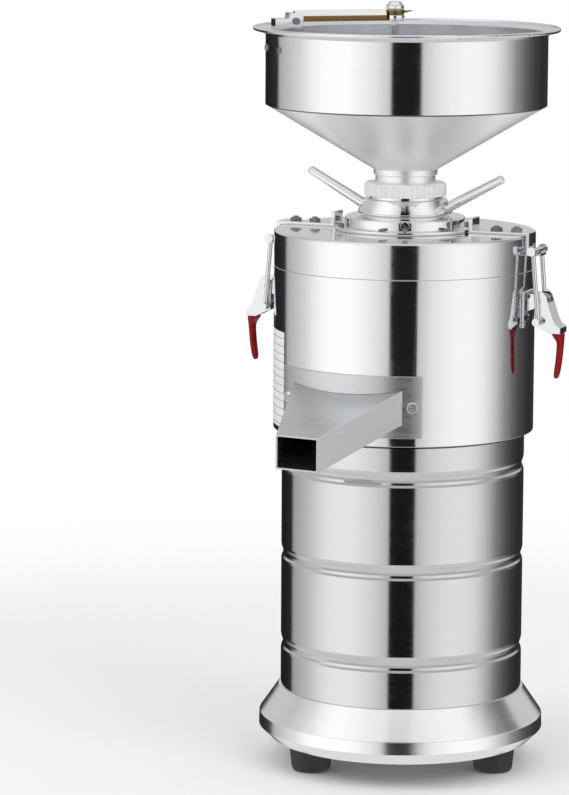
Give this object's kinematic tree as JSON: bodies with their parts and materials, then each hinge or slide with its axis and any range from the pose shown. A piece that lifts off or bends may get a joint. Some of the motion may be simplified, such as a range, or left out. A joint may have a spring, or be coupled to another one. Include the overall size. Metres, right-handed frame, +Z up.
{
  "type": "nut butter grinder",
  "caption": "Upright stainless nut butter grinder with a feed hopper, adjusting collar, clamped lid, outlet chute and ribbed motor barrel.",
  "frame": {"origin": "on the machine's axis at floor level, under the middle of the three feet", "axes": "+Z up along the shaft; the outlet chute points along -Y; +X is the side of the right latch"},
  "size_m": [0.308, 0.3421, 0.7053],
  "materials": {
    "polished_steel": "polished stainless sheet",
    "brushed_steel": "fine brushed stainless steel",
    "dark_steel": "plain dark steel",
    "cast_alloy": "as cast aluminium",
    "black_rubber": "moulded black rubber",
    "white_seal": "soft white silicone",
    "black_plastic": "moulded black plastic",
    "copper_wire": "varnished copper winding",
    "grinding_stone": "bonded abrasive stone",
    "white_plastic": "moulded white plastic",
    "bronze_bar": "polished bronze bar",
    "red_grip": "dipped red vinyl coat",
    "red_plastic": "moulded red plastic"
  },
  "bodies": {
    "frame": {"base_skirt": "polished_steel", "base_plate": "dark_steel", "rubber_feet": "black_rubber", "foot_screws": "dark_steel", "motor_barrel": "polished_steel", "lower_cap": "cast_alloy", "upper_cap": "cast_alloy", "tie_bolts": "dark_steel", "stator_core": "dark_steel", "stator_windings": "copper_wire", "bearings": "brushed_steel", "chamber_floor": "cast_alloy", "shaft_seal": "black_rubber", "chamber_shell": "polished_steel", "chute": "brushed_steel", "chute_flange": "brushed_steel", "chute_screws": "brushed_steel", "lid": "polished_steel", "lid_gasket": "white_seal", "hub_ring": "brushed_steel", "hub_screws": "dark_steel", "guide_pins": "brushed_steel", "strap_right": "polished_steel", "strap_left": "polished_steel", "strap_bolts": "brushed_steel", "latch_base_right": "brushed_steel", "latch_base_left": "brushed_steel", "latch_rivets": "dark_steel", "latch_pins": "brushed_steel", "switch_frame": "black_plastic", "cord_gland": "black_plastic"},
    "rotor": {"motor_shaft": "brushed_steel", "rotor_core": "dark_steel", "cooling_fan": "black_plastic", "wiper": "brushed_steel", "stone_carrier": "brushed_steel", "lower_stone": "grinding_stone", "stone_nut": "brushed_steel"},
    "collar": {"adjusting_collar": "polished_steel", "collar_retainer": "dark_steel", "handle_bars": "polished_steel"},
    "stone_head": {"stone_holder": "brushed_steel", "upper_stone": "grinding_stone", "stone_screws": "dark_steel"},
    "hopper": {"hopper": "polished_steel", "hopper_cone": "polished_steel", "arm_bracket": "polished_steel", "bracket_screw": "dark_steel"},
    "union_nut": {"union_nut": "white_plastic"},
    "feed_arm": {"feed_arm": "bronze_bar", "lock_nut": "polished_steel"},
    "regulating_rod": {"regulating_rod": "brushed_steel"},
    "feed_knob": {"feed_knob": "polished_steel"},
    "lever_right": {"lever_right": "polished_steel", "grip_right": "red_grip"},
    "bail_right": {"bail_right": "brushed_steel"},
    "lever_left": {"lever_left": "polished_steel", "grip_left": "red_grip"},
    "bail_left": {"bail_left": "brushed_steel"},
    "rocker": {"switch_rocker": "red_plastic"}
  },
  "joints": [
    {"name": "rotor_spin", "type": "hinge", "parent": "frame", "child": "rotor", "pos_m": [0, 0, 0.3], "axis": [0, 0, 1], "continuous": true},
    {"name": "collar_turn", "type": "hinge", "parent": "frame", "child": "collar", "pos_m": [0, 0, 0.512], "axis": [0, 0, 1], "range_deg": [-120, 120]},
    {"name": "stone_lift", "type": "slide", "parent": "frame", "child": "stone_head", "axis": [0, 0, 1], "range_m": [-0.00067, 0.00067]},
    {"name": "hopper_lift", "type": "slide", "parent": "stone_head", "child": "hopper", "axis": [0, 0, 1], "range_m": [0, 0.1]},
    {"name": "union_nut_turn", "type": "hinge", "parent": "hopper", "child": "union_nut", "pos_m": [0, 0, 0.5346], "axis": [0, 0, 1], "range_deg": [0, 720]},
    {"name": "feed_arm_lift", "type": "hinge", "parent": "hopper", "child": "feed_arm", "pos_m": [-0.07468, -0.07733, 0.6886], "axis": [0.7193, -0.6947, 0], "range_deg": [0, 95]},
    {"name": "feed_knob_turn", "type": "hinge", "parent": "feed_arm", "child": "feed_knob", "pos_m": [-0.00799, -0.00827, 0.6886], "axis": [0, 0, 1], "range_deg": [0, 1080]},
    {"name": "rod_lift", "type": "slide", "parent": "feed_arm", "child": "regulating_rod", "axis": [0, 0, 1], "range_m": [0, 0.00374]},
    {"name": "lever_right_open", "type": "hinge", "parent": "frame", "child": "lever_right", "pos_m": [0.13201, 0.01621, 0.4385], "axis": [0.1219, -0.9925, 0], "range_deg": [0, 120]},
    {"name": "bail_right_swing", "type": "hinge", "parent": "lever_right", "child": "bail_right", "pos_m": [0.13251, 0.01627, 0.42], "axis": [0.1219, -0.9925, 0], "range_deg": [-106, 0]},
    {"name": "lever_left_open", "type": "hinge", "parent": "frame", "child": "lever_left", "pos_m": [-0.13201, -0.01621, 0.4385], "axis": [-0.1219, 0.9925, 0], "range_deg": [0, 120]},
    {"name": "bail_left_swing", "type": "hinge", "parent": "lever_left", "child": "bail_left", "pos_m": [-0.13251, -0.01627, 0.42], "axis": [-0.1219, 0.9925, 0], "range_deg": [-106, 0]},
    {"name": "power_switch", "type": "hinge", "parent": "frame", "child": "rocker", "pos_m": [0, 0.111, 0.149], "axis": [1, 0, 0], "range_deg": [0, 16]}
  ],
  "couplings": [
    {"joint": "collar_turn", "follows": "stone_lift", "rad_per_m": 3141.6},
    {"joint": "feed_knob_turn", "follows": "rod_lift", "rad_per_m": 5026.6},
    {"joint": "bail_right_swing", "follows": "lever_right_open", "ratio": -0.88},
    {"joint": "bail_left_swing", "follows": "lever_left_open", "ratio": -0.88}
  ]
}
